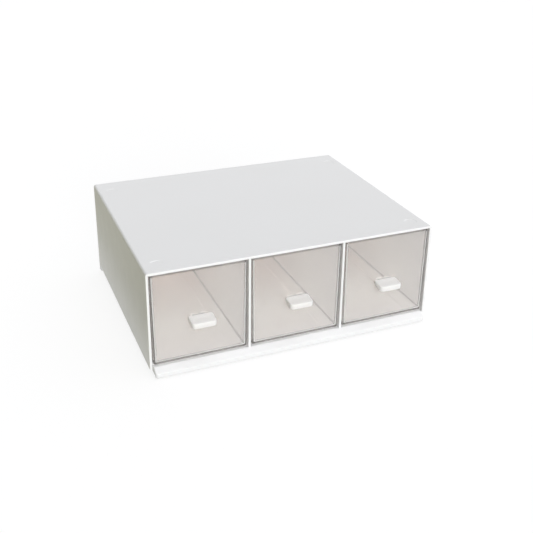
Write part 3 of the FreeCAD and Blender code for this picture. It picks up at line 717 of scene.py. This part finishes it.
def handle_clip(name, size, box):
    """Neck and barbs behind a handle: one outline seen from above, carried up by the thickness.

    The outline runs along the neck, out round each barb and back along the slit between them.
    """
    low, high = np.array(box[0]), np.array(box[1])
    middle = (high[0] + low[0]) / 2
    face = low[1] + size.reach
    tip = high[1] - face
    neck = size.neck / 2
    barb = neck + size.barb
    slit = size.slit / 2
    half = np.array([
        (neck, 0), (neck, size.barb_start), (barb, size.barb_start), (barb, tip - size.barb_lead),
        (barb - size.barb_lead, tip), (slit, tip), (slit, SLIT_START),
    ])
    outline = np.concatenate([half, half[::-1] * (-1, 1)]) + (middle, face)
    level = high[2] - size.root / 2
    count = len(outline)
    points = np.concatenate([
        np.column_stack([outline, np.full(count, level - size.neck_rise / 2)]),
        np.column_stack([outline, np.full(count, level + size.neck_rise / 2)]),
    ])
    step = np.arange(count)
    ahead = (step + 1) % count
    sides = np.stack([step, ahead, count + ahead, count + step], axis=1).tolist()
    caps = [step[::-1].tolist(), (count + step).tolist()]
    made = bpy.data.meshes.new(name)
    made.from_pydata(points.tolist(), [], sides + caps)
    return made


def direction(azimuth, elevation):
    """Unit vector from the object towards a lamp or the camera; azimuth 0 is the object's front."""
    return Vector((
        math.sin(azimuth) * math.cos(elevation),
        -math.cos(azimuth) * math.cos(elevation),
        math.sin(elevation),
    ))


class ORGANIZER_OT_casing(bpy.types.Operator):
    """Finish the casing shell in gloss white ABS"""

    bl_idname = "organizer.casing"
    bl_label = "Casing shell"

    def execute(self, context):
        dress(["casing_shell"], casing_abs(context.scene.organizer_finish))
        return {"FINISHED"}


class ORGANIZER_OT_partitions(bpy.types.Operator):
    """Finish the two partitions in gloss white ABS"""

    bl_idname = "organizer.partitions"
    bl_label = "Partitions"

    def execute(self, context):
        dress(["partition_left", "partition_right"], casing_abs(context.scene.organizer_finish))
        return {"FINISHED"}


class ORGANIZER_OT_back_panel(bpy.types.Operator):
    """Finish the back panel in gloss white ABS"""

    bl_idname = "organizer.back_panel"
    bl_label = "Back panel"

    def execute(self, context):
        dress(["back_panel"], casing_abs(context.scene.organizer_finish))
        return {"FINISHED"}


class ORGANIZER_OT_base_tray(bpy.types.Operator):
    """Finish the base tray in gloss white ABS"""

    bl_idname = "organizer.base_tray"
    bl_label = "Base tray"

    def execute(self, context):
        dress(["base_tray"], casing_abs(context.scene.organizer_finish))
        return {"FINISHED"}


class ORGANIZER_OT_foot_pads(bpy.types.Operator):
    """Finish the four foot pads in milky polyurethane"""

    bl_idname = "organizer.foot_pads"
    bl_label = "Foot pads"

    def execute(self, context):
        names = [f"foot_pad_{end}_{side}" for end in ("front", "rear") for side in ("left", "right")]
        dress(names, soft_pad(context.scene.organizer_finish))
        return {"FINISHED"}


class ORGANIZER_OT_drawers(bpy.types.Operator):
    """Finish the three drawers in clear tinted polystyrene"""

    bl_idname = "organizer.drawers"
    bl_label = "Drawers"

    def execute(self, context):
        scene = context.scene
        names = [f"drawer_tub_{bay}" for bay in BAYS]
        dress(names, clear_styrene(scene.organizer_finish, scene.organizer_tub))
        return {"FINISHED"}


class ORGANIZER_OT_rims(bpy.types.Operator):
    """Make the fine pale rims on the drawers' front panels, a painted highlight of their bright edge"""

    bl_idname = "organizer.rims"
    bl_label = "Drawer rims"

    def execute(self, context):
        material = painted_highlight_styrene(context.scene.organizer_finish)
        for bay in BAYS:
            name = f"panel_rim_{bay}"
            rim = link(name, panel_rim(name, context.scene.organizer_tub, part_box(f"drawer_tub_{bay}")))
            rim.data.materials.append(material)
            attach(rim, f"drawer_{bay}")
        return {"FINISHED"}


class ORGANIZER_OT_handles(bpy.types.Operator):
    """Make the three handles, softly rounded, with their clips, in white ABS"""

    bl_idname = "organizer.handles"
    bl_label = "Handles"

    def execute(self, context):
        finish = context.scene.organizer_finish
        size = context.scene.organizer_handle
        material = white_abs(
            "handle_white_abs", finish.handle, finish.white_mottle, finish.white_speck, finish.handle_gloss
        )
        for bay in BAYS:
            node = f"drawer_handle_{bay}"
            grip = link(f"handle_grip_{bay}", handle_grip(f"handle_grip_{bay}", size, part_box(node)))
            clip = link(f"handle_clip_{bay}", handle_clip(f"handle_clip_{bay}", size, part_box(node)))
            bevel = clip.modifiers.new("edges", "BEVEL")
            bevel.width = CLIP_EDGE
            bevel.segments = 2
            for piece in (grip, clip):
                piece.data.materials.append(material)
                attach(piece, f"drawer_{bay}")
            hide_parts(node)
        return {"FINISHED"}


class ORGANIZER_OT_stage(bpy.types.Operator):
    """Make the floor, the world, the key light and the camera"""

    bl_idname = "organizer.stage"
    bl_label = "Stage"

    def execute(self, context):
        scene = context.scene
        stage = scene.organizer_stage
        self.make_floor(stage)
        self.make_world(scene, stage)
        self.make_key(stage)
        self.make_camera(scene, stage)
        scene.view_settings.view_transform = "Standard"
        scene.cycles.max_bounces = MOST_BOUNCES
        scene.cycles.diffuse_bounces = DIFFUSE_BOUNCES
        scene.cycles.transmission_bounces = MOST_BOUNCES
        scene.cycles.transparent_max_bounces = MOST_BOUNCES
        return {"FINISHED"}

    def make_floor(self, stage):
        """One large square under the pads."""
        half = stage.floor_size / 2
        corners = [(-half, -half, 0), (half, -half, 0), (half, half, 0), (-half, half, 0)]
        mesh = bpy.data.meshes.new("floor")
        mesh.from_pydata(corners, [], [(0, 1, 2, 3)])
        mesh.materials.append(floor_material(stage))
        link("floor", mesh)

    def make_world(self, scene, stage):
        """Fill light from all round, brighter overhead and dim on the left, behind plain white."""
        world = bpy.data.worlds.new("studio")
        world.use_nodes = True
        tree = world.node_tree
        tree.nodes.clear()
        towards = add_node(tree, "ShaderNodeTexCoord", output="Generated")
        height = add_node(tree, "ShaderNodeSeparateXYZ", (towards,), output="Z")
        leftness = add_node(
            tree, "ShaderNodeVectorMath", (towards, DIM_SIDE), output="Value", operation="DOT_PRODUCT"
        )
        dim = add_node(tree, "ShaderNodeMapRange", {
            "Value": leftness, "From Min": DIM_START, "From Max": DIM_FULL, "To Min": 0.0, "To Max": 1.0,
        })
        tone = add_node(tree, "ShaderNodeMix", {
            MIX_SHARE: dim, MIX_FROM: stage.fill, MIX_TO: stage.fill_left,
        }, output=MIX_RESULT, data_type="RGBA")
        level = add_node(tree, "ShaderNodeMapRange", {
            "Value": height, "From Min": 0.0, "From Max": 1.0,
            "To Min": stage.fill_level, "To Max": stage.fill_level * (1 + stage.fill_above),
        })
        fill = add_node(tree, "ShaderNodeBackground", {"Color": tone, "Strength": level})
        white = add_node(tree, "ShaderNodeBackground", {"Color": linear(WHITE), "Strength": 1.0})
        mixed = add_node(tree, "ShaderNodeMixShader", (seen_ray(tree), fill, white))
        add_node(tree, "ShaderNodeOutputWorld", {"Surface": mixed}, output=None)
        scene.world = world

    def make_key(self, stage):
        """A broad, low sun from the front."""
        lamp = bpy.data.lights.new("key", "SUN")
        lamp.energy = stage.key_level
        lamp.color = stage.key[:3]
        lamp.angle = stage.key_spread
        towards = direction(stage.key_azimuth, stage.key_elevation)
        key = link("key", lamp)
        key.rotation_euler = towards.to_track_quat("Z", "Y").to_euler()

    def make_camera(self, scene, stage):
        """The camera, placed round the object by its bearing, height, roll and distance."""
        back = direction(stage.azimuth, stage.elevation)
        level = Vector((math.cos(stage.azimuth), math.sin(stage.azimuth), 0))
        upright = back.cross(level)
        right = level * math.cos(stage.roll) + upright * math.sin(stage.roll)
        up = upright * math.cos(stage.roll) - level * math.sin(stage.roll)
        data = bpy.data.cameras.new("camera")
        data.lens = stage.lens
        data.shift_y = stage.shift
        camera = link("camera", data)
        place = back * stage.distance + right * stage.aim_right + up * stage.aim_up
        camera.matrix_world = Matrix.Translation(place) @ Matrix((right, up, back)).transposed().to_4x4()
        scene.camera = camera


class ORGANIZER_PT_panel(bpy.types.Panel):
    """Colours, sizes and pieces of the organizer"""

    bl_idname = "ORGANIZER_PT_panel"
    bl_label = "Tea bag organizer"
    bl_space_type = "VIEW_3D"
    bl_region_type = "UI"
    bl_category = "Organizer"

    def draw(self, context):
        for name, group in GROUPS.items():
            box = self.layout.box()
            for setting in group.__annotations__:
                box.prop(getattr(context.scene, name), setting)
        for operator in OPERATORS:
            self.layout.operator(operator.bl_idname)


GROUPS = {
    "organizer_finish": OrganizerFinish,
    "organizer_tub": OrganizerTub,
    "organizer_handle": OrganizerHandle,
    "organizer_stage": OrganizerStage,
}
OPERATORS = (
    ORGANIZER_OT_casing,
    ORGANIZER_OT_partitions,
    ORGANIZER_OT_back_panel,
    ORGANIZER_OT_base_tray,
    ORGANIZER_OT_foot_pads,
    ORGANIZER_OT_drawers,
    ORGANIZER_OT_rims,
    ORGANIZER_OT_handles,
    ORGANIZER_OT_stage,
)


def register():
    """Registers the classes and gives every scene its property groups."""
    for item in (*GROUPS.values(), *OPERATORS, ORGANIZER_PT_panel):
        bpy.utils.register_class(item)
    for name, group in GROUPS.items():
        setattr(bpy.types.Scene, name, PointerProperty(type=group))


def unregister():
    """Takes back what register did, in reverse."""
    for name in GROUPS:
        delattr(bpy.types.Scene, name)
    for item in reversed((*GROUPS.values(), *OPERATORS, ORGANIZER_PT_panel)):
        bpy.utils.unregister_class(item)


def main():
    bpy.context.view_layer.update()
    register()
    for operator in OPERATORS:
        group, name = operator.bl_idname.split(".")
        getattr(getattr(bpy.ops, group), name)()


if __name__ == "__main__":
    main()
